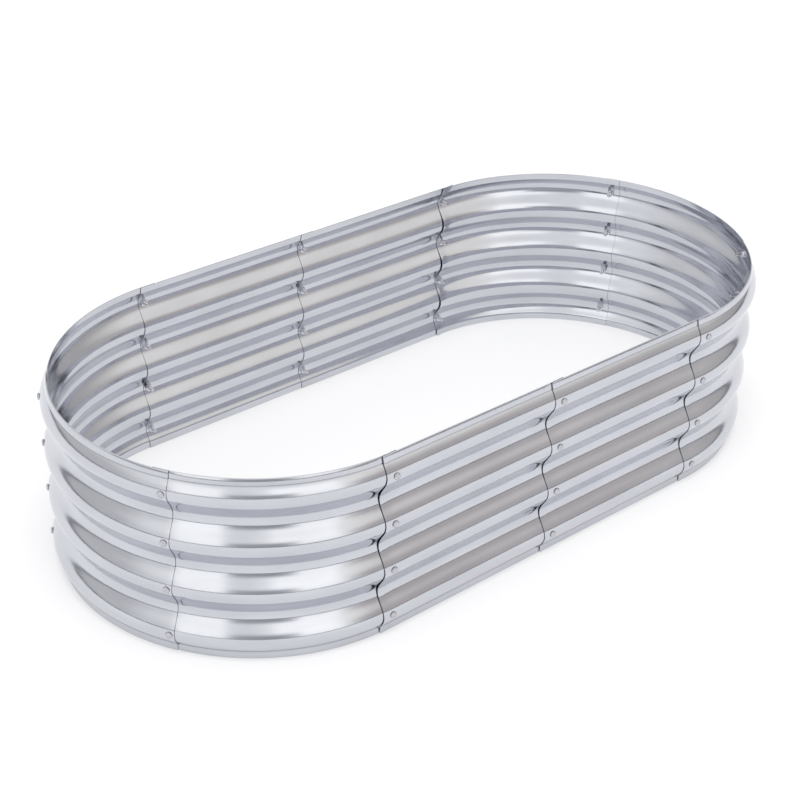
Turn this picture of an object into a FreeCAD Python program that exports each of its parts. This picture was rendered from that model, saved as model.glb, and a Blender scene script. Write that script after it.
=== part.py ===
import FreeCAD, Part
import math
import os

# Oval raised garden bed: ten corrugated steel panels, lapped and bolted into a ring that is open at
# the top and the bottom. All sizes are in millimetres. +X runs along the bed, +Y to its far side, and
# +Z up. The origin is on the ground at the middle of the bed. Angles are in degrees, counter-clockwise
# from +X as seen from above. "Outward" is the way that a wall faces, away from the soil.

# ---- The bed ---------------------------------------------------------------------------------------
bed_length = 1220.0        # end to end, over the crests of the waves
bed_width = 610.0          # side to side, over the crests of the waves
panels_per_end = 3         # curved panels that make each rounded end
flats_per_panel = 7        # short flats that stand for the bend of one curved panel

# ---- The wave of the sheet -------------------------------------------------------------------------
crest_count = 4            # outward waves, one above another
wave_pitch = 76.0          # from one crest up to the next
wave_depth = 16.0          # from the crest in to the valley
edge_height = 31.0         # from the outermost crests to the sheet's top and bottom edges
lip_height = 10.0          # upright lip along the top and bottom edges
lip_inset = 9.0            # how far the lip stands in from the crest
sheet_thickness = 0.7

# ---- The laps between panels -----------------------------------------------------------------------
start_margin = 16.0        # from a panel's first bolt line to its end
end_margin = 8.0           # from a panel's last bolt line to its end
lap_clearance = 0.4        # room between two lapped sheets on the steepest part of the wave

# ---- The bolts and nuts ----------------------------------------------------------------------------
shank_diameter = 6.0
bolt_length = 16.0         # from under the head to the tip
head_diameter = 10.5
head_height = 3.2
head_rim_height = 1.4      # upright part of the head, below its crown
head_crown_diameter = 6.5  # the flat on top of the crown
nut_across_flats = 10.0
nut_height = 5.0
hole_clearance = 0.4       # a hole is wider than its bolt, over the corners, by this much
thread_clearance = 0.2     # a nut's bore is wider than its bolt, over the corners, by this much
seat_clearance = 0.05      # a head and a nut stand off their sheets by this much
round_sides = 8            # sides that stand for the circle of a bolt's head and shank
hexagon_sides = 6          # sides of a nut, and those that stand for the circle of a hidden hole

# ---- Sizes that follow from those ------------------------------------------------------------------
end_radius = bed_width / 2.0
straight_half = (bed_length - bed_width) / 2.0
panel_angle = 180.0 / panels_per_end
flat_angle = panel_angle / flats_per_panel
lowest_crest = edge_height
bed_height = 2.0 * edge_height + (crest_count - 1) * wave_pitch
crest_heights = [lowest_crest + level * wave_pitch for level in range(crest_count)]

# A wave is drawn with eight flats: one on the crest, one in the valley and three on each flank.
flats_per_wave = 8
half_flat = math.pi / flats_per_wave
flank_rise = wave_pitch / flats_per_wave
flank_run = wave_depth * math.tan(half_flat)
steepest_slope = math.atan2(flank_run, flank_rise)
lap_step = sheet_thickness / math.cos(steepest_slope) + lap_clearance

# Holes and bores clear the corners of the many-sided shank that passes through them.
shank_over_corners = shank_diameter / math.cos(math.pi / round_sides)
hole_diameter = shank_over_corners + hole_clearance
bore_diameter = shank_over_corners + thread_clearance

# A nut is wider than the flat inside a crest, so its edges rest where the flanks start to rise.
crest_half_flat = flank_rise / 2.0
first_flank_slope = (wave_depth - flank_run) / 2.0 / flank_rise
nut_overhang = max(0.0, nut_across_flats / 2.0 + sheet_thickness / 2.0 - crest_half_flat)
nut_stand_off = seat_clearance + nut_overhang * first_flank_slope

# Each bolt line: its name, the middle of the arc or wall that it stands on, and the way it faces.
bolt_lines = [
    ("near_left_corner", -straight_half, -90.0),
    ("near_middle", 0.0, -90.0),
    ("near_right_corner", straight_half, -90.0),
    ("right_end_near", straight_half, -90.0 + panel_angle),
    ("right_end_far", straight_half, 90.0 - panel_angle),
    ("far_right_corner", straight_half, 90.0),
    ("far_middle", 0.0, 90.0),
    ("far_left_corner", -straight_half, 90.0),
    ("left_end_far", -straight_half, 90.0 + panel_angle),
    ("left_end_near", -straight_half, 270.0 - panel_angle),
]

# Each panel runs from the bolt line of the same number to the next one, and says whether its start
# and its end lie outside the neighbour that they lap.
OUTSIDE = 1
INSIDE = -1
panels = [
    ("near_side_panel_left", OUTSIDE, INSIDE),
    ("near_side_panel_right", OUTSIDE, INSIDE),
    ("right_end_panel_near", OUTSIDE, INSIDE),
    ("right_end_panel_middle", OUTSIDE, OUTSIDE),
    ("right_end_panel_far", INSIDE, INSIDE),
    ("far_side_panel_right", OUTSIDE, INSIDE),
    ("far_side_panel_left", OUTSIDE, INSIDE),
    ("left_end_panel_far", OUTSIDE, INSIDE),
    ("left_end_panel_middle", OUTSIDE, OUTSIDE),
    ("left_end_panel_near", INSIDE, INSIDE),
]


def facing(angle):
    """Unit vector in plan that points outward at this angle."""
    return FreeCAD.Vector(math.cos(math.radians(angle)), math.sin(math.radians(angle)), 0.0)


def along(angle):
    """Unit vector in plan that runs along the wall, counter-clockwise, at this angle."""
    return facing(angle + 90.0)


def crest_point(line):
    """Foot of a bolt line: the point below its bolts, level with the ground and plumb with the crests."""
    return FreeCAD.Vector(line[1], 0.0, 0.0) + facing(line[2]) * end_radius


def wave_outline():
    """Outer face of the sheet from its bottom edge to its top: (depth in from the crest, height)."""
    points = []
    for crest in crest_heights:
        for flat in range(-flats_per_wave // 2, flats_per_wave // 2):
            phase = (2 * flat + 1) * half_flat
            height = crest + wave_pitch * phase / (2.0 * math.pi)
            depth = wave_depth / 2.0 * (1.0 - math.cos(phase) / math.cos(half_flat))
            between_crests = crest_heights[0] < height < crest_heights[-1]
            clear_of_lips = lip_height < height < bed_height - lip_height
            if clear_of_lips and (between_crests or depth < lip_inset):
                points.append((depth, height))
    lip_bottom = [(lip_inset, 0.0), (lip_inset, lip_height)]
    lip_top = [(lip_inset, bed_height - lip_height), (lip_inset, bed_height)]
    return lip_bottom + points + lip_top


def inner_outline(outline):
    """The sheet's inner face: every flat of the outer face moved in by the sheet's thickness."""
    normals = []
    for low, high in zip(outline[:-1], outline[1:]):
        run = high[0] - low[0]
        rise = high[1] - low[1]
        length = math.hypot(run, rise)
        normals.append((rise / length, -run / length))
    normals = [normals[0]] + normals + [normals[-1]]
    inner = []
    for point, before, after in zip(outline, normals[:-1], normals[1:]):
        mitre = sheet_thickness / (1.0 + before[0] * after[0] + before[1] * after[1])
        depth = point[0] + mitre * (before[0] + after[0])
        height = point[1] + mitre * (before[1] + after[1])
        inner.append((depth, height))
    return inner


def flat_face(corners):
    """Flat face with these corners."""
    return Part.Face(Part.makePolygon(corners + corners[:1]))


def skinned(sections, looped=False):
    """Solid with a flat between each side of a section and the same side of the next one.

    A looped run of sections closes on its first one, and any other run has a face at both ends.
    """
    faces = []
    followers = sections[1:] + (sections[:1] if looped else [])
    for section, follower in zip(sections, followers):
        for corner in range(len(section)):
            last_corner = (corner + 1) % len(section)
            sides = [section[corner], section[last_corner], follower[last_corner], follower[corner]]
            faces.append(flat_face(sides))
    if not looped:
        faces.append(flat_face(sections[0]))
        faces.append(flat_face(sections[-1]))
    solid = Part.Solid(Part.Shell(faces))
    if solid.Volume < 0.0:
        solid.reverse()
    return solid


def sheet_section(outline, point, outward):
    """Corners of the sheet on an upright plane through a point of the wall."""
    corners = outline + inner_outline(outline)[::-1]
    upright = FreeCAD.Vector(0.0, 0.0, 1.0)
    return [point - outward * depth + upright * height for depth, height in corners]


def curved_panel(outline, line, start_side, end_side):
    """Sheet bent round part of an end, with an upright section at each bend."""
    middle = FreeCAD.Vector(line[1], 0.0, 0.0)
    start_angle = line[2]
    end_angle = start_angle + panel_angle
    middle_angle = start_angle + panel_angle / 2.0
    half_angle = math.radians(panel_angle / 2.0)
    outward_move = (start_side + end_side) * lap_step / 4.0 / math.cos(half_angle)
    along_move = (end_side - start_side) * lap_step / 4.0 / math.sin(half_angle)
    move = facing(middle_angle) * outward_move + along(middle_angle) * along_move
    start_point = middle + facing(start_angle) * end_radius - along(start_angle) * start_margin
    end_point = middle + facing(end_angle) * end_radius + along(end_angle) * end_margin
    sections = [sheet_section(outline, start_point + move, facing(start_angle))]
    for bend in range(flats_per_panel):
        bend_angle = start_angle + (bend + 0.5) * flat_angle
        mitre = facing(bend_angle) * (1.0 / math.cos(math.radians(flat_angle / 2.0)))
        sections.append(sheet_section(outline, middle + mitre * end_radius + move, mitre))
    sections.append(sheet_section(outline, end_point + move, facing(end_angle)))
    return skinned(sections)


def straight_panel(outline, line, next_line, start_side, end_side):
    """Sheet of a long wall, between the upright sections at its two ends."""
    outward = facing(line[2])
    start_bolts = crest_point(line) + outward * (start_side * lap_step / 2.0)
    end_bolts = crest_point(next_line) + outward * (end_side * lap_step / 2.0)
    run = (end_bolts - start_bolts).normalize()
    ends = [start_bolts - run * start_margin, end_bolts + run * end_margin]
    return skinned([sheet_section(outline, end, outward) for end in ends])


def ring(start, direction, distance, across, sides):
    """Corners of a many-sided ring about an axis, with its size given across its flats."""
    upright = FreeCAD.Vector(0.0, 0.0, 1.0)
    sideways = upright.cross(direction)
    corner_radius = across / 2.0 / math.cos(math.pi / sides)
    corners = []
    for corner in range(sides):
        turn = 2.0 * math.pi * (corner + 0.5) / sides
        spoke = upright * math.cos(turn) + sideways * math.sin(turn)
        corners.append(start + direction * distance + spoke * corner_radius)
    return corners


def bolt_seats(line):
    """Where the bolts of a bolt line cross the crests, one for each wave."""
    return [crest_point(line) + FreeCAD.Vector(0.0, 0.0, height) for height in crest_heights]


def with_holes(panel, lines):
    """The panel with its bolt holes cut along these bolt lines."""
    reach = lap_step + 2.0 * sheet_thickness
    cutters = []
    for line in lines:
        outward = facing(line[2])
        for seat in bolt_seats(line):
            ends = [ring(seat, outward, side * reach, hole_diameter, hexagon_sides) for side in (-1.0, 1.0)]
            cutters.append(skinned(ends))
    return panel.cut(cutters)


def bolt(seat, outward):
    """Bolt with a low round head that stands on the outer sheet, and its shank pointing in."""
    under_head = seat + outward * (lap_step / 2.0 + seat_clearance)
    steps = [
        (-bolt_length, shank_diameter),
        (0.0, shank_diameter),
        (0.0, head_diameter),
        (head_rim_height, head_diameter),
        (head_height, head_crown_diameter),
    ]
    return skinned([ring(under_head, outward, distance, across, round_sides) for distance, across in steps])


def nut(seat, outward):
    """Hexagon nut inside the inner sheet, with its bore round the bolt."""
    face = seat - outward * (lap_step / 2.0 + sheet_thickness + nut_stand_off)
    steps = [
        (0.0, nut_across_flats),
        (nut_height, nut_across_flats),
        (nut_height, bore_diameter),
        (0.0, bore_diameter),
    ]
    rings = [ring(face, -outward, distance, across, hexagon_sides) for distance, across in steps]
    return skinned(rings, looped=True)


def save(name, solids):
    """Write the solids of one node to its own file."""
    Part.makeCompound(solids).exportStep("parts/" + name + ".step")


def main():
    os.makedirs("parts", exist_ok=True)
    outline = wave_outline()
    next_lines = bolt_lines[1:] + bolt_lines[:1]
    for (name, start_side, end_side), line, next_line in zip(panels, bolt_lines, next_lines):
        if line[2] == next_line[2]:
            sheet = straight_panel(outline, line, next_line, start_side, end_side)
        else:
            sheet = curved_panel(outline, line, start_side, end_side)
        save(name, with_holes(sheet, [line, next_line]).Solids)
    for line in bolt_lines:
        outward = facing(line[2])
        save("bolts_" + line[0], [bolt(seat, outward) for seat in bolt_seats(line)])
        save("nuts_" + line[0], [nut(seat, outward) for seat in bolt_seats(line)])


main()
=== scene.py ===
import math
import random
from collections import namedtuple

import bpy
from mathutils import Matrix, Vector, noise


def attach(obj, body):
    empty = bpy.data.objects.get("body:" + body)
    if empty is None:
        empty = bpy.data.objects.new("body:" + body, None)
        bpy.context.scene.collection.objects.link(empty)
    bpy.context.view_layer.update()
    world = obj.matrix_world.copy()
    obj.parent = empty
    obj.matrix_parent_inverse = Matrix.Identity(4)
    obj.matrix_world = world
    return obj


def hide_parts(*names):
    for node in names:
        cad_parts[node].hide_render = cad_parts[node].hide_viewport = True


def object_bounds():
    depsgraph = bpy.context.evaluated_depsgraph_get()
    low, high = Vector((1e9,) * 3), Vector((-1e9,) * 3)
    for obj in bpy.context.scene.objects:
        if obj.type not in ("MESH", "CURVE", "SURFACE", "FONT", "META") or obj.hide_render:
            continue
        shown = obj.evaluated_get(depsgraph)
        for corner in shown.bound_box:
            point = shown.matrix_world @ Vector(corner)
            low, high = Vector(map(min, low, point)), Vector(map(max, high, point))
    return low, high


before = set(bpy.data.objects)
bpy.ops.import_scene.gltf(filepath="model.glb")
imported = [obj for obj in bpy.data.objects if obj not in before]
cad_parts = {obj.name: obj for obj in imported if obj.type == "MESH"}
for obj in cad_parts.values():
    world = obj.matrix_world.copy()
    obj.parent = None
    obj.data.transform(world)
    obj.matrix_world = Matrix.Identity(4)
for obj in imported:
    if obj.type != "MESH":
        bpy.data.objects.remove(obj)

bl_info = {
    "name": "Oval raised garden bed",
    "version": (1, 0, 0),
    "blender": (4, 5, 0),
    "location": "3D View > Sidebar > Garden bed",
    "description": "Finished panels, bolts and nuts of an oval raised garden bed, and its studio",
    "category": "Mesh",
}

# The bed stands on the floor with its long axis along X and its near side at -Y. Lengths are in
# metres and angles in degrees. "Outward" is away from the inside of the bed, and "depth" is a
# distance in from the crests of the waves.

SOLID_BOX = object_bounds()
BODY = "root"

# Each bolt line: its name, where it stands along the straight walls, and the way it faces.
LEFT, MIDDLE, RIGHT = -1.0, 0.0, 1.0
PANEL_ANGLE = 60.0
BoltLine = namedtuple("BoltLine", "name place angle")
BOLT_LINES = [
    BoltLine("near_left_corner", LEFT, -90.0),
    BoltLine("near_middle", MIDDLE, -90.0),
    BoltLine("near_right_corner", RIGHT, -90.0),
    BoltLine("right_end_near", RIGHT, -30.0),
    BoltLine("right_end_far", RIGHT, 30.0),
    BoltLine("far_right_corner", RIGHT, 90.0),
    BoltLine("far_middle", MIDDLE, 90.0),
    BoltLine("far_left_corner", LEFT, 90.0),
    BoltLine("left_end_far", LEFT, 150.0),
    BoltLine("left_end_near", LEFT, 210.0),
]

# Each panel runs from the bolt line of the same number to the next one, and says whether its start
# and its end lie outside the neighbour that they lap.
OUTSIDE, INSIDE = 1.0, -1.0
PANELS = [
    ("near_side_panel_left", OUTSIDE, INSIDE),
    ("near_side_panel_right", OUTSIDE, INSIDE),
    ("right_end_panel_near", OUTSIDE, INSIDE),
    ("right_end_panel_middle", OUTSIDE, OUTSIDE),
    ("right_end_panel_far", INSIDE, INSIDE),
    ("far_side_panel_right", OUTSIDE, INSIDE),
    ("far_side_panel_left", OUTSIDE, INSIDE),
    ("left_end_panel_far", OUTSIDE, INSIDE),
    ("left_end_panel_middle", OUTSIDE, OUTSIDE),
    ("left_end_panel_near", INSIDE, INSIDE),
]

# How far the free edge of a lap springs off its neighbour in the valleys, at each bolt line.
SEAM_GAPS = {
    "near_left_corner": 0.0007,
    "near_middle": 0.0006,
    "near_right_corner": 0.0006,
    "right_end_near": 0.0,
    "right_end_far": 0.0,
    "far_right_corner": 0.0017,
    "far_middle": 0.0001,
    "far_left_corner": 0.0004,
    "left_end_far": 0.0,
    "left_end_near": 0.0,
}


# ---- What a user may change ------------------------------------------------------------------------
class BedSizes(bpy.types.PropertyGroup):
    """Sizes of the ring and its sheets"""

    bed_length: bpy.props.FloatProperty(
        name="Length", description="End to end, over the crests", default=1.22, unit="LENGTH"
    )
    bed_width: bpy.props.FloatProperty(
        name="Width", description="Side to side, over the crests", default=0.61, unit="LENGTH"
    )
    bed_height: bpy.props.FloatProperty(
        name="Height", description="From the ground to the rim", default=SOLID_BOX[1].z, unit="LENGTH"
    )
    wave_pitch: bpy.props.FloatProperty(
        name="Wave pitch", description="From one crest up to the next", default=0.076, unit="LENGTH"
    )
    wave_depth: bpy.props.FloatProperty(
        name="Wave depth", description="From the crest in to the valley", default=0.016, unit="LENGTH"
    )
    edge_height: bpy.props.FloatProperty(
        name="Edge height", description="From the outermost crests to the edges",
        default=0.031, unit="LENGTH"
    )
    lip_inset: bpy.props.FloatProperty(
        name="Lip inset", description="How far the upright lips stand in", default=0.009, unit="LENGTH"
    )
    sheet_thickness: bpy.props.FloatProperty(
        name="Sheet thickness", description="Thickness of the steel", default=0.0007, unit="LENGTH"
    )
    hem_height: bpy.props.FloatProperty(
        name="Hem height", description="Height of the leaf folded over the top lip",
        default=0.0092, unit="LENGTH"
    )
    shelf_height: bpy.props.FloatProperty(
        name="Shelf height", description="From the lip's foot down to the shelf below it",
        default=0.0013, unit="LENGTH"
    )
    lip_lean: bpy.props.FloatProperty(
        name="Lip lean", description="How far the top lip leans in over its height",
        default=0.0026, unit="LENGTH"
    )
    shelf_rise: bpy.props.FloatProperty(
        name="Shelf rise", description="How far the shelf climbs to the lip", default=0.001, unit="LENGTH"
    )
    hem_leaf: bpy.props.FloatProperty(
        name="Hem leaf", description="How far the folded leaf stands proud", default=0.001, unit="LENGTH"
    )
    start_margin: bpy.props.FloatProperty(
        name="Start margin", description="From the first bolt line to the panel's end",
        default=0.016, unit="LENGTH"
    )
    end_margin: bpy.props.FloatProperty(
        name="End margin", description="From the last bolt line to the panel's end",
        default=0.008, unit="LENGTH"
    )
    lap_step: bpy.props.FloatProperty(
        name="Lap step", description="From one lapped sheet to the other", default=0.00125, unit="LENGTH"
    )
    unevenness: bpy.props.FloatProperty(
        name="Unevenness", description="How far the sheets stray from true", default=0.00022, unit="LENGTH"
    )


class FastenerSizes(bpy.types.PropertyGroup):
    """Sizes of the bolts and nuts"""

    shank_radius: bpy.props.FloatProperty(
        name="Shank radius", description="Over the thread", default=0.003, unit="LENGTH"
    )
    thread_pitch: bpy.props.FloatProperty(
        name="Thread pitch", description="From one ridge to the next", default=0.001, unit="LENGTH"
    )
    bolt_length: bpy.props.FloatProperty(
        name="Bolt length", description="From under the head to the tip", default=0.016, unit="LENGTH"
    )
    head_radius: bpy.props.FloatProperty(
        name="Head radius", description="Radius of the round head", default=0.00525, unit="LENGTH"
    )
    head_height: bpy.props.FloatProperty(
        name="Head height", description="From the sheet to the crown", default=0.0032, unit="LENGTH"
    )
    nut_half_width: bpy.props.FloatProperty(
        name="Nut half width", description="Half the width over the flats", default=0.005, unit="LENGTH"
    )
    nut_height: bpy.props.FloatProperty(
        name="Nut height", description="Height of the nut", default=0.005, unit="LENGTH"
    )
    seat_clearance: bpy.props.FloatProperty(
        name="Seat clearance", description="Room under the head", default=0.00005, unit="LENGTH"
    )
    nut_stand_off: bpy.props.FloatProperty(
        name="Nut stand-off", description="From the inner sheet's crest to the nut",
        default=0.00035, unit="LENGTH"
    )


class Finishes(bpy.types.PropertyGroup):
    """Colours and gloss of the metal"""

    zinc: bpy.props.FloatVectorProperty(
        name="Zinc", description="Colour of the galvanised sheet",
        default=(0.598, 0.61, 0.654), subtype="COLOR", size=3, min=0.0, max=1.0
    )
    zinc_roughness: bpy.props.FloatProperty(
        name="Zinc roughness", description="Roughness of the sheet", default=0.125, min=0.0, max=1.0
    )
    plating: bpy.props.FloatVectorProperty(
        name="Plating", description="Colour of the bolts and nuts",
        default=(0.55, 0.55, 0.58), subtype="COLOR", size=3, min=0.0, max=1.0
    )
    plating_roughness: bpy.props.FloatProperty(
        name="Plating roughness", description="Roughness of the bolts and nuts",
        default=0.2, min=0.0, max=1.0
    )
    # Painted shade: a dark colour painted into the groove under the folded leaf, standing in for the shadow
    # there.
    painted_shade: bpy.props.FloatVectorProperty(
        name="Groove_shade", description="Colour of the dirt in the groove under the rim",
        default=(0.12, 0.12, 0.13), subtype="COLOR", size=3, min=0.0, max=1.0
    )


class StageSettings(bpy.types.PropertyGroup):
    """Floor, backdrop, lights and camera"""

    floor_size: bpy.props.FloatProperty(
        name="Floor size", description="Side of the floor", default=60.0, unit="LENGTH"
    )
    floor_colour: bpy.props.FloatVectorProperty(
        name="Floor colour", description="Colour of the floor and the backdrop",
        default=(0.36, 0.36, 0.363), subtype="COLOR", size=3, min=0.0, max=1.0
    )
    floor_glow: bpy.props.FloatProperty(
        name="Floor glow", description="Strength of the light under the floor's sheeting", default=1.35
    )
    backdrop_glow: bpy.props.FloatProperty(
        name="Backdrop glow", description="Strength of the light behind the backdrop", default=2.9
    )
    overhead_strength: bpy.props.FloatProperty(
        name="Overhead light", description="Strength of the soft light from above", default=2.1
    )
    room_strength: bpy.props.FloatProperty(
        name="Room light", description="Strength of the studio's walls", default=1.0
    )
    camera_azimuth: bpy.props.FloatProperty(
        name="Camera azimuth", description="Round from -Y towards -X", default=40.746
    )
    camera_elevation: bpy.props.FloatProperty(
        name="Camera elevation", description="Above the horizon", default=31.193
    )
    camera_roll: bpy.props.FloatProperty(
        name="Camera roll", description="Tilt of the picture", default=1.555
    )
    camera_distance: bpy.props.FloatProperty(
        name="Camera distance", description="From the point it looks at", default=2.562, unit="LENGTH"
    )
    camera_lens: bpy.props.FloatProperty(
        name="Lens", description="Focal length on a 36 mm wide sensor", default=75.48
    )
    camera_aim: bpy.props.FloatVectorProperty(
        name="Aim", description="The point that the camera looks at",
        default=(-0.0568, -0.0189, 0.145), subtype="XYZ", unit="LENGTH", size=3
    )


# ---- Places ----------------------------------------------------------------------------------------
def facing(angle):
    """Unit vector in plan that points outward at this angle."""
    return Vector((math.cos(math.radians(angle)), math.sin(math.radians(angle)), 0.0))


def along(angle):
    """Unit vector in plan that runs along the wall, counter-clockwise."""
    return facing(angle + 90.0)


def smooth_step(value):
    """0 below 0, 1 above 1, and smooth between them."""
    value = min(1.0, max(0.0, value))
    return value * value * (3.0 - 2.0 * value)


def arc_middle(sizes, line):
    """Point in plan that a bolt line faces away from: the middle of a curved end or of the bed."""
    return Vector((line.place * (sizes.bed_length - sizes.bed_width) / 2.0, 0.0, 0.0))


def crest_point(sizes, line):
    """Foot of a bolt line, plumb with the crests."""
    return arc_middle(sizes, line) + facing(line.angle) * sizes.bed_width / 2.0


def panel_lines(number):
    """The bolt lines at the start and the end of a panel."""
    return BOLT_LINES[number], BOLT_LINES[(number + 1) % len(BOLT_LINES)]


def is_straight(number):
    """Whether a panel belongs to a straight wall."""
    line, next_line = panel_lines(number)
    return line.angle == next_line.angle


def crest_heights(sizes):
    """Heights of the crests, which are the heights of the bolts."""
    count = round((sizes.bed_height - 2.0 * sizes.edge_height) / sizes.wave_pitch) + 1
    return [sizes.edge_height + level * sizes.wave_pitch for level in range(count)]


# ---- The sheet's section ---------------------------------------------------------------------------
POINTS_PER_WAVE = 28
BEND_POINTS = 8
ROUND_POINTS = 6
FOOT_BEND = 0.0024          # how far the bend over the bottom lip reaches, down and up
EDGE_BEVEL = 0.0002         # on both sides of the bottom edge
HEM_SEAT = 0.0001           # from the top of the single sheet to the folded leaf
LEAF_MINIMUM = 0.00002      # a folded leaf that has run out keeps this much
LEAF_BEVEL = 0.15           # on the leaf's raw edge, as a share of how far it stands proud
SHELF_PAINTED_SHADE = 0.3            # what the shelf under the rim gets of the groove's painted shade


def wave_at(sizes, height):
    """Depth of the sheet's outer face at this height, between the lips."""
    turns = (height - sizes.edge_height) / sizes.wave_pitch
    return sizes.wave_depth / 2.0 * (1.0 - math.cos(2.0 * math.pi * turns))


def lip_height(sizes):
    """Height of the upright lips, which end where the wave reaches their depth."""
    turn = math.acos(1.0 - 2.0 * sizes.lip_inset / sizes.wave_depth)
    return sizes.edge_height - turn / (2.0 * math.pi) * sizes.wave_pitch


def lean_at(sizes, height):
    """How much deeper the leaning top lip stands at this height than at its foot."""
    foot = sizes.bed_height - sizes.hem_height
    return sizes.lip_lean * (height - foot) / sizes.hem_height


def sheet_line(sizes):
    """Outer face of the single sheet from its bottom edge to its top: (depth, height)."""
    lip = lip_height(sizes)
    wave_start, wave_end = lip + FOOT_BEND, sizes.bed_height - lip - sizes.shelf_height
    low = sizes.bed_height - sizes.hem_height
    line = [(sizes.lip_inset, EDGE_BEVEL), (sizes.lip_inset, (lip - FOOT_BEND) / 2.0)]
    heel = Vector((sizes.lip_inset, lip - FOOT_BEND))
    corner = Vector((sizes.lip_inset, lip))
    toe = Vector((wave_at(sizes, wave_start), wave_start))
    for step in range(BEND_POINTS):
        part = step / BEND_POINTS
        point = heel * (1.0 - part) ** 2 + corner * 2.0 * part * (1.0 - part) + toe * part ** 2
        line.append((point.x, point.y))
    steps = round((wave_end - wave_start) / sizes.wave_pitch * POINTS_PER_WAVE)
    for step in range(steps + 1):
        height = wave_start + (wave_end - wave_start) * step / steps
        line.append((wave_at(sizes, height), height))
    line.append((sizes.lip_inset, wave_end + sizes.shelf_rise))
    line.append((sizes.lip_inset + lean_at(sizes, low), low - HEM_SEAT))
    return line


def offset_line(line, distance):
    """The line moved inward, square to itself."""
    moved = []
    for index, (depth, height) in enumerate(line):
        before = line[max(0, index - 1)]
        after = line[min(len(line) - 1, index + 1)]
        run, rise = after[0] - before[0], after[1] - before[1]
        length = math.hypot(run, rise)
        moved.append((depth + distance * rise / length, height - distance * run / length))
    return moved


def hem(sizes, leaf):
    """The top edge folded down outside: from the leaf's raw edge, over the rim, to the inner face."""
    low = sizes.bed_height - sizes.hem_height
    outer = sizes.lip_inset - leaf
    inner = sizes.lip_inset + sizes.sheet_thickness
    radius = (inner - outer) / 2.0
    bevel = LEAF_BEVEL * leaf
    points = [(sizes.lip_inset, low), (outer + bevel, low), (outer, low + bevel)]
    points.append((outer, (low + sizes.bed_height - radius) / 2.0))
    for step in range(ROUND_POINTS + 1):
        turn = math.pi * step / ROUND_POINTS
        depth = outer + radius - radius * math.cos(turn)
        points.append((depth, sizes.bed_height - radius + radius * math.sin(turn)))
    points.append((inner, low))
    return [(depth + lean_at(sizes, height), height) for depth, height in points]


def section(sizes, leaf):
    """Closed outline of the sheet: (depth, height, crease), up the outside and down the inside.

    The crease is 1 in the groove under the folded leaf, where the material paints shade.
    """
    leaf = max(leaf, LEAF_MINIMUM)
    line = sheet_line(sizes)
    thickness = sizes.sheet_thickness
    inner = sizes.lip_inset + thickness
    foot = [(sizes.lip_inset + EDGE_BEVEL, 0.0)]
    inner_foot = [(inner, EDGE_BEVEL), (inner - EDGE_BEVEL, 0.0)]
    inside = offset_line(line, thickness)[1:-1]
    fold = hem(sizes, leaf)
    outline = foot + line + fold + inside[::-1] + inner_foot
    # Painted shade: the crease is 1 in the groove under the leaf and weaker on the shelf below it.
    creases = dict.fromkeys(range(len(outline)), 0.0)
    creases[len(line) - 1] = SHELF_PAINTED_SHADE * leaf / sizes.hem_leaf
    creases[len(line)] = creases[len(line) + 1] = leaf / sizes.hem_leaf
    return [(depth, height, creases[index]) for index, (depth, height) in enumerate(outline)]


# ---- Pieces ----------------------------------------------------------------------------------------
SHARP_ANGLE = 38.0          # edges that turn by more than this stay sharp


def new_piece(name, points, faces, material, node, corner_uvs=None, creases=None):
    """Mesh object that replaces a node of the frame and rides on its body."""
    mesh = bpy.data.meshes.new(name)
    mesh.from_pydata(points, [], faces)
    mesh.materials.append(material)
    if corner_uvs:
        layer = mesh.uv_layers.new(name="sheet")
        layer.data.foreach_set("uv", [value for uv in corner_uvs for value in uv])
        mesh.attributes.new("crease", "FLOAT", "POINT").data.foreach_set("value", creases)
    mesh.validate()
    mesh.shade_smooth()
    mesh.set_sharp_from_angle(angle=math.radians(SHARP_ANGLE))
    piece = bpy.data.objects.new(name, mesh)
    bpy.context.scene.collection.objects.link(piece)
    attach(piece, BODY)
    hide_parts(node)


# ---- Panels ----------------------------------------------------------------------------------------
STRAIGHT_STEPS, CURVED_STEPS = 44, 48
START_STEPS, END_STEPS = 4, 3       # on the laps past a curved panel's bolt lines
RUN_OUT = 0.006             # over this length the folded leaf runs out, next to a lap that covers it
CALM_LENGTH = 0.05          # over this length the unevenness dies down towards the laps
CALM_SHARE = 0.25           # what is left of it at the laps, and on the crests
# The layers of the unevenness: strength, waves to the metre along the wall and up it, and two numbers
# that set one panel off from the next.
SWAYS = [(1.0, 5.0, 11.0, 7.3, 0.0), (0.45, 13.0, 24.0, 3.1, 40.0)]


def straight_stations(sizes, line, next_line, start_move, end_move):
    """Stations of a straight panel, and the length between its bolt lines.

    A station is a point on the crest line, the way outward there and its distance past the first bolt
    line. The moves say how far the panel's ends stand out from the crest line.
    """
    outward = facing(line.angle)
    start = crest_point(sizes, line) + outward * start_move
    end = crest_point(sizes, next_line) + outward * end_move
    run = end - start
    length = run.length
    first, last = -sizes.start_margin, length + sizes.end_margin
    stations = []
    for index in range(STRAIGHT_STEPS + 1):
        distance = first + (last - first) * index / STRAIGHT_STEPS
        stations.append((start + run * (distance / length), outward, distance))
    return stations, length


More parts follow.
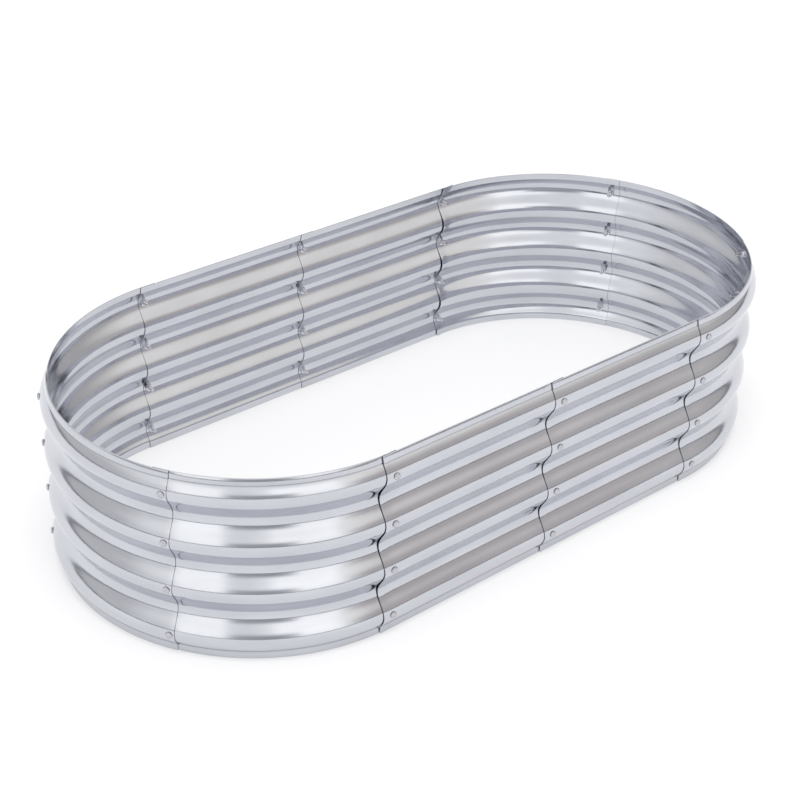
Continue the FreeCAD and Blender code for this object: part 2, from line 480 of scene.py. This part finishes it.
def curved_stations(sizes, line, next_line, start_move, end_move):
    """Stations of a curved panel, and the length between its bolt lines.

    They are laid out like a straight panel's. Past the corners the laps run on straight.
    """
    radius = sizes.bed_width / 2.0
    half = math.radians(PANEL_ANGLE / 2.0)
    middle_angle = line.angle + PANEL_ANGLE / 2.0
    move = facing(middle_angle) * (start_move + end_move) / 2.0 / math.cos(half)
    move += along(middle_angle) * (end_move - start_move) / 2.0 / math.sin(half)
    length = radius * math.radians(PANEL_ANGLE)
    distances = [-sizes.start_margin * part / START_STEPS for part in range(START_STEPS, 0, -1)]
    distances += [length * index / CURVED_STEPS for index in range(CURVED_STEPS + 1)]
    distances += [length + sizes.end_margin * part / END_STEPS for part in range(1, END_STEPS + 1)]
    stations = []
    for distance in distances:
        bend = distance
        if "corner" in line.name:
            bend = max(bend, 0.0)
        if "corner" in next_line.name:
            bend = min(bend, length)
        angle = line.angle + math.degrees(bend / radius)
        point = arc_middle(sizes, line) + facing(angle) * radius + along(angle) * (distance - bend) + move
        stations.append((point, facing(angle), distance))
    return stations, length


def lengths_along(outline):
    """Length along the sheet's outline from its first point to each of its points."""
    lengths = [0.0]
    for before, after in zip(outline, outline[1:]):
        lengths.append(lengths[-1] + math.hypot(after[0] - before[0], after[1] - before[1]))
    return lengths


def sway_at(distance, height, number):
    """Unevenness of a panel at one of its points, between about -1 and 1."""
    sway = 0.0
    for strength, lengthwise, upward, apart, shift in SWAYS:
        spot = Vector((distance * lengthwise, height * upward, number * apart + shift))
        sway += strength * noise.noise(spot)
    return sway


def calmed(value):
    """The value, lifted so that it runs from the calm share up to 1."""
    return CALM_SHARE + (1.0 - CALM_SHARE) * value


def tube_faces(rows, count):
    """Faces that join rows of points, each a closed outline of so many points, and close both ends."""
    faces = []
    for row in range(rows - 1):
        for corner in range(count):
            following = (corner + 1) % count
            first, second = row * count, (row + 1) * count
            faces.append((first + corner, second + corner, second + following, first + following))
    faces.append(tuple(range(count)))
    faces.append(tuple(range((rows - 1) * count, rows * count))[::-1])
    return faces


def panel(sizes, number, material):
    """One corrugated sheet with a folded rim, sprung laps and the slight unevenness of rolled steel."""
    name, start_side, end_side = PANELS[number]
    line, next_line = panel_lines(number)
    step = sizes.lap_step / 2.0
    lay_out = straight_stations if is_straight(number) else curved_stations
    stations, length = lay_out(sizes, line, next_line, start_side * step, end_side * step)
    lap = sizes.start_margin + sizes.end_margin
    climb = lengths_along(section(sizes, sizes.hem_leaf))
    points, uvs, creases = [], [], []
    for place, outward, distance in stations:
        from_start = distance + sizes.start_margin
        to_end = length + sizes.end_margin - distance
        leaf = sizes.hem_leaf
        if start_side == INSIDE:
            leaf *= smooth_step((from_start - lap) / RUN_OUT)
        if end_side == INSIDE:
            leaf *= smooth_step((to_end - lap) / RUN_OUT)
        flare = start_side * SEAM_GAPS[line.name] * smooth_step(1.0 - from_start / sizes.start_margin)
        flare += end_side * SEAM_GAPS[next_line.name] * smooth_step(1.0 - to_end / (2.0 * sizes.end_margin))
        calm = smooth_step((from_start - lap) / CALM_LENGTH) * smooth_step((to_end - lap) / CALM_LENGTH)
        stray = sizes.unevenness * calmed(calm)
        for (depth, height, crease), rise in zip(section(sizes, leaf), climb):
            valley = wave_at(sizes, height) / sizes.wave_depth
            move = flare * valley + stray * sway_at(distance, height, number) * calmed(valley)
            points.append(place - outward * (depth - move) + Vector((0.0, 0.0, height)))
            uvs.append((distance, rise))
            creases.append(crease)
    faces = tube_faces(len(stations), len(climb))
    corner_uvs = [uvs[vertex] for face in faces for vertex in face]
    new_piece(name + "_sheet", points, faces, material, name, corner_uvs, creases)


# ---- Bolts and nuts --------------------------------------------------------------------------------
BOLT_SIDES, NUT_SIDES = 32, 48
# The thread, in shares of its pitch.
THREAD_DEPTH = 0.55
TIP_BEVEL = 0.25            # from the tip up to the full root
FIRST_RIDGE = 0.8           # from the tip up to the middle of the first ridge
HALF_RIDGE = 0.06           # half the height of a ridge's top
HALF_PITCH = 0.5
TIP_RADIUS = 0.8            # share of the root's radius
# The head. Its rolled lower edge is given as shares of its radius, and heights.
HEAD_EDGE = [(0.93, 0.0), (0.985, 0.00012), (1.0, 0.00035)]
DOME_START = 0.3            # share of the head's height
DOME_FULLNESS = 0.8         # 1 is an ellipse, and less is fuller
DOME_STEPS = 8
CROWN_RADIUS = 0.03         # share of the head's radius
# The nut's outline.
CHAMFER_START = 0.97        # share of the nut's half width
CHAMFER_SLOPE = 0.577
BORE_CLEARANCE = 0.0001
BORE_BEVEL = 0.0004
# How the fasteners stand: which way they point, and by how much a nut may be turned either way.
OUTWARD, INWARD = 1.0, -1.0
NUT_TURN = 30.0
NUT_SEED = 11


def turned(profile, sides):
    """Points and faces of a profile turned about the Z axis: (radius, height), closed at both ends."""
    points, faces = [], []
    for radius, height in profile:
        for side in range(sides):
            angle = 2.0 * math.pi * side / sides
            points.append(Vector((radius * math.cos(angle), radius * math.sin(angle), height)))
    for row in range(len(profile) - 1):
        for side in range(sides):
            following = (side + 1) % sides
            first, second = row * sides, (row + 1) * sides
            faces.append((first + side, first + following, second + following, second + side))
    faces.append(tuple(range(sides))[::-1])
    faces.append(tuple(range((len(profile) - 1) * sides, len(profile) * sides)))
    return points, faces


def bolt_shape(fasteners):
    """Bolt along Z with the underside of its low round head at 0 and its ridged shank below."""
    shank, pitch, length = fasteners.shank_radius, fasteners.thread_pitch, fasteners.bolt_length
    radius, height = fasteners.head_radius, fasteners.head_height
    root = shank - THREAD_DEPTH * pitch
    profile = [(root * TIP_RADIUS, -length), (root, -length + TIP_BEVEL * pitch)]
    for ridge in range(int(length / pitch) - 1):
        middle = -length + (ridge + FIRST_RIDGE) * pitch
        profile += [(shank, middle - HALF_RIDGE * pitch), (shank, middle + HALF_RIDGE * pitch)]
        profile.append((root, middle + HALF_PITCH * pitch))
    profile.append((root, 0.0))
    profile += [(radius * share, level) for share, level in HEAD_EDGE]
    profile.append((radius, DOME_START * height))
    for step in range(1, DOME_STEPS):
        turn = math.pi / 2.0 * step / DOME_STEPS
        level = height * (DOME_START + (1.0 - DOME_START) * math.sin(turn))
        profile.append((radius * math.cos(turn) ** DOME_FULLNESS, level))
    profile.append((radius * CROWN_RADIUS, height))
    return turned(profile, BOLT_SIDES)


def nut_shape(fasteners):
    """Hexagon nut along Z with its seat at 0, chamfered corners and a plain bore."""
    half, height = fasteners.nut_half_width, fasteners.nut_height
    bore = fasteners.shank_radius + BORE_CLEARANCE
    chamfer_radius = CHAMFER_START * half
    points, faces = [], []
    for side in range(NUT_SIDES):
        angle = 2.0 * math.pi * side / NUT_SIDES
        from_flat = (angle + math.pi / 6.0) % (math.pi / 3.0) - math.pi / 6.0
        across = half / math.cos(from_flat)
        chamfer = max(0.0, across - chamfer_radius) * CHAMFER_SLOPE
        rows = [
            (bore, 0.0), (chamfer_radius, 0.0), (across, chamfer), (across, height - chamfer),
            (chamfer_radius, height), (bore + BORE_BEVEL, height), (bore, height - BORE_BEVEL),
        ]
        for radius, level in rows:
            points.append(Vector((radius * math.cos(angle), radius * math.sin(angle), level)))
    count = len(rows)
    for side in range(NUT_SIDES):
        first, second = side * count, ((side + 1) % NUT_SIDES) * count
        for row in range(count):
            above = (row + 1) % count
            faces.append((first + row, second + row, second + above, first + above))
    return points, faces


def fastener_group(sizes, line, prefix, shape, stand_off, pointing, material, turns):
    """The bolts or nuts of one bolt line, as one piece."""
    outward = facing(line.angle)
    tilt = (outward * pointing).to_track_quat("Z", "Y").to_matrix().to_4x4()
    points, faces = [], []
    for height, turn in zip(crest_heights(sizes), turns):
        seat = crest_point(sizes, line) + outward * stand_off + Vector((0.0, 0.0, height))
        place = Matrix.Translation(seat) @ tilt @ Matrix.Rotation(turn, 4, "Z")
        first = len(points)
        points += [place @ point for point in shape[0]]
        faces += [tuple(first + vertex for vertex in face) for face in shape[1]]
    node = prefix + line.name
    new_piece(node + "_finished", points, faces, material, node)


# ---- Finishes --------------------------------------------------------------------------------------
MIDDLE_OF_NOISE = (0.3, 0.7)        # where most of a noise lies
# The nuts' plating is painted lighter than the bolts': a painted highlight for the light that their flats
# catch.
BOLT_SHADE, NUT_PAINTED_LIGHT = 1.0, 1.35   # how light the plating is on each


def new_material(name):
    """Empty node material: (material, nodes, links, its shader)."""
    material = bpy.data.materials.new(name)
    material.use_nodes = True
    nodes, links = material.node_tree.nodes, material.node_tree.links
    nodes.clear()
    output = nodes.new("ShaderNodeOutputMaterial")
    shader = nodes.new("ShaderNodeBsdfPrincipled")
    links.new(shader.outputs["BSDF"], output.inputs["Surface"])
    return material, nodes, links, shader


def scaled_noise(nodes, links, coordinates, scale, detail):
    """Noise on coordinates that are stretched by the scale."""
    mapping = nodes.new("ShaderNodeMapping")
    mapping.inputs["Scale"].default_value = scale
    texture = nodes.new("ShaderNodeTexNoise")
    texture.inputs["Scale"].default_value = 1.0
    texture.inputs["Detail"].default_value = detail
    links.new(coordinates, mapping.inputs["Vector"])
    links.new(mapping.outputs["Vector"], texture.inputs["Vector"])
    return texture.outputs["Fac"]


def between(nodes, links, factor, low, high):
    """A number that runs from low to high as the factor runs over the middle of the noise."""
    node = nodes.new("ShaderNodeMapRange")
    node.inputs["From Min"].default_value = MIDDLE_OF_NOISE[0]
    node.inputs["From Max"].default_value = MIDDLE_OF_NOISE[1]
    node.inputs["To Min"].default_value = low
    node.inputs["To Max"].default_value = high
    links.new(factor, node.inputs["Value"])
    return node.outputs["Result"]


def tinted(nodes, links, factor, colour, darkest, lightest):
    """The colour, in tones that run from the darkest share of it to the lightest with the factor."""
    ramp = nodes.new("ShaderNodeValToRGB")
    for element, position, share in zip(ramp.color_ramp.elements, MIDDLE_OF_NOISE, (darkest, lightest)):
        element.position = position
        element.color = (*[min(1.0, share * value) for value in colour], 1.0)
    links.new(factor, ramp.inputs["Fac"])
    return ramp.outputs["Color"]


def fine_relief(nodes, links, shader, height, strength, distance):
    """Bumps on the shader's surface, as high as the distance where the height is 1."""
    bump = nodes.new("ShaderNodeBump")
    bump.inputs["Strength"].default_value = strength
    bump.inputs["Distance"].default_value = distance
    links.new(height, bump.inputs["Height"])
    links.new(bump.outputs["Normal"], shader.inputs["Normal"])


def galvanised_sheet(finishes):
    """Smooth hot-dipped zinc: cloudy in tone and gloss, with faint lines along the rolling."""
    material, nodes, links, shader = new_material("galvanised sheet")
    place = nodes.new("ShaderNodeTexCoord").outputs["UV"]
    clouds = scaled_noise(nodes, links, place, scale=(9.0, 34.0, 1.0), detail=3.0)
    streaks = scaled_noise(nodes, links, place, scale=(2.5, 420.0, 1.0), detail=4.0)
    grain = scaled_noise(nodes, links, place, scale=(900.0, 900.0, 1.0), detail=2.0)
    # Painted shade: the crease mask mixes a dark colour into the zinc in the groove under the rim, in place
    # of its shadow.
    crease = nodes.new("ShaderNodeAttribute")
    crease.attribute_name = "crease"
    painted_shade = nodes.new("ShaderNodeMix")
    painted_shade.data_type = "RGBA"
    painted_shade.inputs["B"].default_value = (*finishes.painted_shade, 1.0)
    links.new(crease.outputs["Fac"], painted_shade.inputs["Factor"])
    zinc = tinted(nodes, links, clouds, finishes.zinc, darkest=0.95, lightest=1.05)
    links.new(zinc, painted_shade.inputs["A"])
    links.new(painted_shade.outputs["Result"], shader.inputs["Base Color"])
    roughness = finishes.zinc_roughness
    gloss = between(nodes, links, streaks, low=roughness - 0.025, high=roughness + 0.035)
    links.new(gloss, shader.inputs["Roughness"])
    relief = nodes.new("ShaderNodeMath")
    relief.operation = "MULTIPLY_ADD"
    share_of_grain = relief.inputs[1]
    share_of_grain.default_value = 0.12
    links.new(grain, relief.inputs[0])
    links.new(streaks, relief.inputs[2])
    fine_relief(nodes, links, shader, relief.outputs["Value"], strength=0.12, distance=0.0002)
    shader.inputs["Metallic"].default_value = 1.0
    return material


def plated_steel(finishes, name, shade):
    """Bright zinc plating with a fine grain. The shade says how light it is; the nuts get a lighter copy, a
    painted highlight.
    """
    material, nodes, links, shader = new_material(name)
    place = nodes.new("ShaderNodeTexCoord").outputs["Object"]
    patches = scaled_noise(nodes, links, place, scale=(260.0, 260.0, 260.0), detail=2.0)
    grain = scaled_noise(nodes, links, place, scale=(2600.0, 2600.0, 2600.0), detail=3.0)
    plating = tinted(nodes, links, patches, finishes.plating, darkest=0.88 * shade, lightest=1.06 * shade)
    links.new(plating, shader.inputs["Base Color"])
    roughness = finishes.plating_roughness
    gloss = between(nodes, links, grain, low=roughness - 0.05, high=roughness + 0.08)
    links.new(gloss, shader.inputs["Roughness"])
    fine_relief(nodes, links, shader, grain, strength=0.15, distance=0.00005)
    shader.inputs["Metallic"].default_value = 1.0
    return material


# ---- Stage -----------------------------------------------------------------------------------------
# Colours of the studio round the bed, by the way they lie in degrees from -Y towards +X: first the
# walls near the floor, over a dark skirting, then the softboxes and upper walls over them.
LOW_WALLS = [
    (-180.0, (0.66, 0.66, 0.66)),
    (-132.0, (0.7, 0.7, 0.7)),
    (-108.0, (0.68, 0.68, 0.69)),
    (-100.0, (0.8, 0.8, 0.81)),
    (-94.0, (0.9, 0.9, 0.91)),
    (-84.0, (0.93, 0.93, 0.94)),
    (-80.0, (1.1, 1.1, 1.1)),
    (-77.0, (1.42, 1.42, 1.4)),
    (-56.0, (1.44, 1.44, 1.42)),
    (-52.0, (0.8, 0.8, 0.82)),
    (-49.0, (0.52, 0.53, 0.56)),
    (-37.0, (0.44, 0.45, 0.48)),
    (-28.0, (0.46, 0.47, 0.5)),
    (-23.0, (0.6, 0.61, 0.63)),
    (-19.0, (1.0, 1.0, 1.01)),
    (-16.0, (1.46, 1.46, 1.44)),
    (2.0, (1.42, 1.42, 1.39)),
    (7.0, (1.06, 1.05, 1.03)),
    (12.0, (0.76, 0.745, 0.735)),
    (18.0, (0.6, 0.565, 0.557)),
    (30.0, (0.595, 0.555, 0.542)),
    (48.0, (0.637, 0.61, 0.585)),
    (70.0, (0.57, 0.55, 0.535)),
    (95.0, (0.54, 0.54, 0.54)),
    (180.0, (0.66, 0.66, 0.66)),
]
HIGH_WALLS = [
    (-180.0, (0.84, 0.84, 0.84)),
    (-120.0, (0.84, 0.84, 0.84)),
    (-104.0, (0.95, 0.95, 0.95)),
    (-96.0, (1.06, 1.06, 1.06)),
    (-84.0, (1.12, 1.12, 1.11)),
    (-79.0, (1.42, 1.42, 1.4)),
    (-57.0, (1.45, 1.45, 1.43)),
    (-53.0, (1.08, 1.08, 1.08)),
    (-44.0, (1.0, 1.01, 1.02)),
    (-34.0, (1.18, 1.18, 1.17)),
    (-28.0, (1.5, 1.5, 1.48)),
    (1.0, (1.5, 1.49, 1.46)),
    (7.0, (1.2, 1.18, 1.13)),
    (20.0, (1.05, 1.02, 0.96)),
    (40.0, (1.03, 1.0, 0.95)),
    (60.0, (0.86, 0.83, 0.78)),
    (90.0, (0.78, 0.76, 0.73)),
    (180.0, (0.84, 0.84, 0.84)),
]
CEILING_COLOUR = (1.02, 1.02, 1.03)
SKIRTING_COLOUR = (0.2, 0.205, 0.225)
# Where one gives way to the next, in degrees above the horizon.
SKIRTING_TOP, LOW_WALLS_START = 1.8, 4.0
LOW_WALLS_TOP, HIGH_WALLS_START = 13.0, 25.0
HIGH_WALLS_TOP, CEILING_START = 27.0, 40.0
# The backdrop's radius and height, as shares of the floor's size, and its sides.
BACKDROP_RADIUS, BACKDROP_HEIGHT, BACKDROP_SIDES = 0.49, 0.4, 96
# The overhead light: how wide it looks from the bed, and its lean about X and about Y.
OVERHEAD_SPREAD, OVERHEAD_LEAN = 34.0, (9.0, -7.0)
SENSOR_WIDTH = 36.0         # of the camera, in millimetres


def studio_walls(strength):
    """Soft room round the bed: a dark skirting, walls and softboxes all round, and a plain ceiling."""
    world = bpy.data.worlds.new("studio walls")
    bpy.context.scene.world = world
    world.use_nodes = True
    nodes, links = world.node_tree.nodes, world.node_tree.links
    nodes.clear()
    output = nodes.new("ShaderNodeOutputWorld")
    background = nodes.new("ShaderNodeBackground")
    background.inputs["Strength"].default_value = strength
    links.new(background.outputs["Background"], output.inputs["Surface"])
    direction = nodes.new("ShaderNodeSeparateXYZ")
    links.new(nodes.new("ShaderNodeTexCoord").outputs["Generated"], direction.inputs["Vector"])

    def calculate(operation, first, second, third=0.0):
        """Result of one operation on numbers or on what other nodes give."""
        node = nodes.new("ShaderNodeMath")
        node.operation = operation
        for socket, value in zip(node.inputs, (first, second, third)):
            if isinstance(value, float):
                socket.default_value = value
            else:
                links.new(value, socket)
        return node.outputs["Value"]

    backwards = calculate("MULTIPLY", direction.outputs["Y"], -1.0)
    turn = calculate("ARCTAN2", direction.outputs["X"], backwards)
    turn_part = calculate("MULTIPLY_ADD", turn, 0.5 / math.pi, 0.5)

    def walls(colours):
        """Colours of the walls all round, for every way that one can look."""
        ramp = nodes.new("ShaderNodeValToRGB")
        links.new(turn_part, ramp.inputs["Fac"])
        brightest = max(max(colour) for angle, colour in colours)
        elements = ramp.color_ramp.elements
        while len(elements) < len(colours):
            elements.new(0.5)
        for element, (angle, colour) in zip(elements, colours):
            element.position = (angle + 180.0) / 360.0
        for element, (angle, colour) in zip(elements, colours):
            element.color = (*[value / brightest for value in colour], 1.0)
        scaled = nodes.new("ShaderNodeVectorMath")
        scaled.operation = "SCALE"
        scaled.inputs["Scale"].default_value = brightest
        links.new(ramp.outputs["Color"], scaled.inputs[0])
        return scaled.outputs["Vector"]

    def blend(low_end, high_start, low, high):
        """One colour up to a height, another from a greater height, and a soft change between."""
        rise = nodes.new("ShaderNodeMapRange")
        rise.interpolation_type = "SMOOTHSTEP"
        rise.inputs["From Min"].default_value = math.sin(math.radians(low_end))
        rise.inputs["From Max"].default_value = math.sin(math.radians(high_start))
        links.new(direction.outputs["Z"], rise.inputs["Value"])
        mix = nodes.new("ShaderNodeMix")
        mix.data_type = "RGBA"
        links.new(rise.outputs["Result"], mix.inputs["Factor"])
        for socket, value in ((mix.inputs["A"], low), (mix.inputs["B"], high)):
            if isinstance(value, tuple):
                socket.default_value = (*value, 1.0)
            else:
                links.new(value, socket)
        return mix.outputs["Result"]

    room = blend(SKIRTING_TOP, LOW_WALLS_START, SKIRTING_COLOUR, walls(LOW_WALLS))
    room = blend(LOW_WALLS_TOP, HIGH_WALLS_START, room, walls(HIGH_WALLS))
    room = blend(HIGH_WALLS_TOP, CEILING_START, room, CEILING_COLOUR)
    links.new(room, background.inputs["Color"])


def pale_sheeting(name, colour, glow):
    """Matt pale sheeting that is lit from behind as well, so that shadows on it stay faint."""
    material, nodes, links, shader = new_material(name)
    place = nodes.new("ShaderNodeTexCoord").outputs["Object"]
    mottle = scaled_noise(nodes, links, place, scale=(1.5, 1.5, 1.5), detail=2.0)
    tone = tinted(nodes, links, mottle, colour, darkest=0.985, lightest=1.0)
    links.new(tone, shader.inputs["Base Color"])
    links.new(tone, shader.inputs["Emission Color"])
    shader.inputs["Emission Strength"].default_value = glow
    shader.inputs["Roughness"].default_value = 0.9
    shader.inputs["Specular IOR Level"].default_value = 0.1
    return material


def stage_piece(name, points, faces, material):
    """Piece of the stage, which is no part of the bed."""
    mesh = bpy.data.meshes.new(name)
    mesh.from_pydata(points, [], faces)
    mesh.materials.append(material)
    piece = bpy.data.objects.new(name, mesh)
    bpy.context.scene.collection.objects.link(piece)
    return piece


def floor(stage):
    """Plain pale floor."""
    half = stage.floor_size / 2.0
    corners = [(-half, -half, 0.0), (half, -half, 0.0), (half, half, 0.0), (-half, half, 0.0)]
    material = pale_sheeting("pale floor", stage.floor_colour, stage.floor_glow)
    stage_piece("floor", corners, [(0, 1, 2, 3)], material)


def backdrop(stage):
    """Pale sheet that stands round the floor. It only closes the view: it sheds no light on the bed."""
    radius, height = BACKDROP_RADIUS * stage.floor_size, BACKDROP_HEIGHT * stage.floor_size
    points, faces = [], []
    for side in range(BACKDROP_SIDES):
        foot = facing(360.0 * side / BACKDROP_SIDES) * radius
        points += [foot, foot + Vector((0.0, 0.0, height))]
        following = (side + 1) % BACKDROP_SIDES
        faces.append((2 * side, 2 * side + 1, 2 * following + 1, 2 * following))
    material = pale_sheeting("pale backdrop", stage.floor_colour, stage.backdrop_glow)
    sheet = stage_piece("backdrop", points, faces, material)
    sheet.visible_diffuse = False
    sheet.visible_glossy = False
    sheet.visible_shadow = False


def overhead_light(strength):
    """Broad soft light above the bed, a little to the near left."""
    lamp = bpy.data.lights.new("overhead light", "SUN")
    lamp.energy = strength
    lamp.angle = math.radians(OVERHEAD_SPREAD)
    light = bpy.data.objects.new("overhead light", lamp)
    lean_x, lean_y = OVERHEAD_LEAN
    light.rotation_euler = (math.radians(lean_x), math.radians(lean_y), 0.0)
    light.visible_glossy = False
    bpy.context.scene.collection.objects.link(light)


def camera(stage):
    """Camera at the photograph's angle."""
    azimuth, elevation = math.radians(-stage.camera_azimuth), math.radians(stage.camera_elevation)
    level = math.cos(elevation)
    back = Vector((math.sin(azimuth) * level, -math.cos(azimuth) * level, math.sin(elevation)))
    right = Vector((math.cos(azimuth), math.sin(azimuth), 0.0))
    up = back.cross(right)
    roll = math.radians(stage.camera_roll)
    rolled_right = right * math.cos(roll) + up * math.sin(roll)
    rolled_up = up * math.cos(roll) - right * math.sin(roll)
    data = bpy.data.cameras.new("camera")
    data.sensor_width = SENSOR_WIDTH
    data.lens = stage.camera_lens
    data.clip_start = 0.05
    data.clip_end = 200.0
    shot = bpy.data.objects.new("camera", data)
    turn = Matrix((rolled_right, rolled_up, back)).transposed()
    place = Vector(stage.camera_aim) + back * stage.camera_distance
    shot.matrix_world = Matrix.Translation(place) @ turn.to_4x4()
    bpy.context.scene.collection.objects.link(shot)
    bpy.context.scene.camera = shot


# ---- Operators -------------------------------------------------------------------------------------
class BED_OT_straight_panels(bpy.types.Operator):
    """Make the straight panels of both long walls"""

    bl_idname = "bed.straight_panels"
    bl_label = "Straight panels"

    def execute(self, context):
        material = galvanised_sheet(context.scene.bed_finishes)
        for number in range(len(PANELS)):
            if is_straight(number):
                panel(context.scene.bed_sizes, number, material)
        return {"FINISHED"}


class BED_OT_curved_panels(bpy.types.Operator):
    """Make the curved panels of both rounded ends"""

    bl_idname = "bed.curved_panels"
    bl_label = "Curved panels"

    def execute(self, context):
        material = galvanised_sheet(context.scene.bed_finishes)
        for number in range(len(PANELS)):
            if not is_straight(number):
                panel(context.scene.bed_sizes, number, material)
        return {"FINISHED"}


class BED_OT_bolts(bpy.types.Operator):
    """Make the round-headed bolts of every bolt line"""

    bl_idname = "bed.bolts"
    bl_label = "Bolts"

    def execute(self, context):
        sizes, fasteners = context.scene.bed_sizes, context.scene.bed_fasteners
        material = plated_steel(context.scene.bed_finishes, "plated bolt", BOLT_SHADE)
        shape = bolt_shape(fasteners)
        stand_off = sizes.lap_step / 2.0 + fasteners.seat_clearance
        turns = [0.0] * len(crest_heights(sizes))
        for line in BOLT_LINES:
            fastener_group(
                sizes, line, "bolts_", shape, stand_off, OUTWARD, material, turns
            )
        return {"FINISHED"}


class BED_OT_nuts(bpy.types.Operator):
    """Make the hexagon nuts of every bolt line"""

    bl_idname = "bed.nuts"
    bl_label = "Nuts"

    def execute(self, context):
        sizes, fasteners = context.scene.bed_sizes, context.scene.bed_fasteners
        # The nuts take the plating painted lighter, as painted highlight.
        material = plated_steel(context.scene.bed_finishes, "plated nut", NUT_PAINTED_LIGHT)
        shape = nut_shape(fasteners)
        stand_off = -(sizes.lap_step / 2.0 + sizes.sheet_thickness + fasteners.nut_stand_off)
        chance = random.Random(NUT_SEED)
        for line in BOLT_LINES:
            turns = [math.radians(chance.uniform(-NUT_TURN, NUT_TURN)) for height in crest_heights(sizes)]
            fastener_group(
                sizes, line, "nuts_", shape, stand_off, INWARD, material, turns
            )
        return {"FINISHED"}


class BED_OT_stage(bpy.types.Operator):
    """Make the floor, the backdrop, the soft studio light and the camera"""

    bl_idname = "bed.stage"
    bl_label = "Stage"

    def execute(self, context):
        stage = context.scene.bed_stage
        floor(stage)
        backdrop(stage)
        studio_walls(stage.room_strength)
        overhead_light(stage.overhead_strength)
        camera(stage)
        context.scene.view_settings.view_transform = "Standard"
        return {"FINISHED"}


class BED_PT_garden_bed(bpy.types.Panel):
    """Sidebar panel that lists the sizes, finishes and pieces"""

    bl_idname = "BED_PT_garden_bed"
    bl_label = "Garden bed"
    bl_space_type = "VIEW_3D"
    bl_region_type = "UI"
    bl_category = "Garden bed"

    def draw(self, context):
        scene = context.scene
        for group in (scene.bed_sizes, scene.bed_fasteners, scene.bed_finishes, scene.bed_stage):
            box = self.layout.box()
            for name in group.__annotations__:
                box.prop(group, name)
        for operator in OPERATORS:
            self.layout.operator(operator.bl_idname)


GROUPS = {
    "bed_sizes": BedSizes,
    "bed_fasteners": FastenerSizes,
    "bed_finishes": Finishes,
    "bed_stage": StageSettings,
}
OPERATORS = (BED_OT_straight_panels, BED_OT_curved_panels, BED_OT_bolts, BED_OT_nuts, BED_OT_stage)


def register():
    for group in GROUPS.values():
        bpy.utils.register_class(group)
    for name, group in GROUPS.items():
        setattr(bpy.types.Scene, name, bpy.props.PointerProperty(type=group))
    for operator in OPERATORS:
        bpy.utils.register_class(operator)
    bpy.utils.register_class(BED_PT_garden_bed)


def unregister():
    bpy.utils.unregister_class(BED_PT_garden_bed)
    for operator in OPERATORS:
        bpy.utils.unregister_class(operator)
    for name, group in GROUPS.items():
        delattr(bpy.types.Scene, name)
        bpy.utils.unregister_class(group)


def main():
    """Make every piece of the bed and the stage."""
    register()
    bpy.ops.bed.straight_panels()
    bpy.ops.bed.curved_panels()
    bpy.ops.bed.bolts()
    bpy.ops.bed.nuts()
    bpy.ops.bed.stage()
    bpy.context.view_layer.update()


if __name__ == "__main__":
    main()
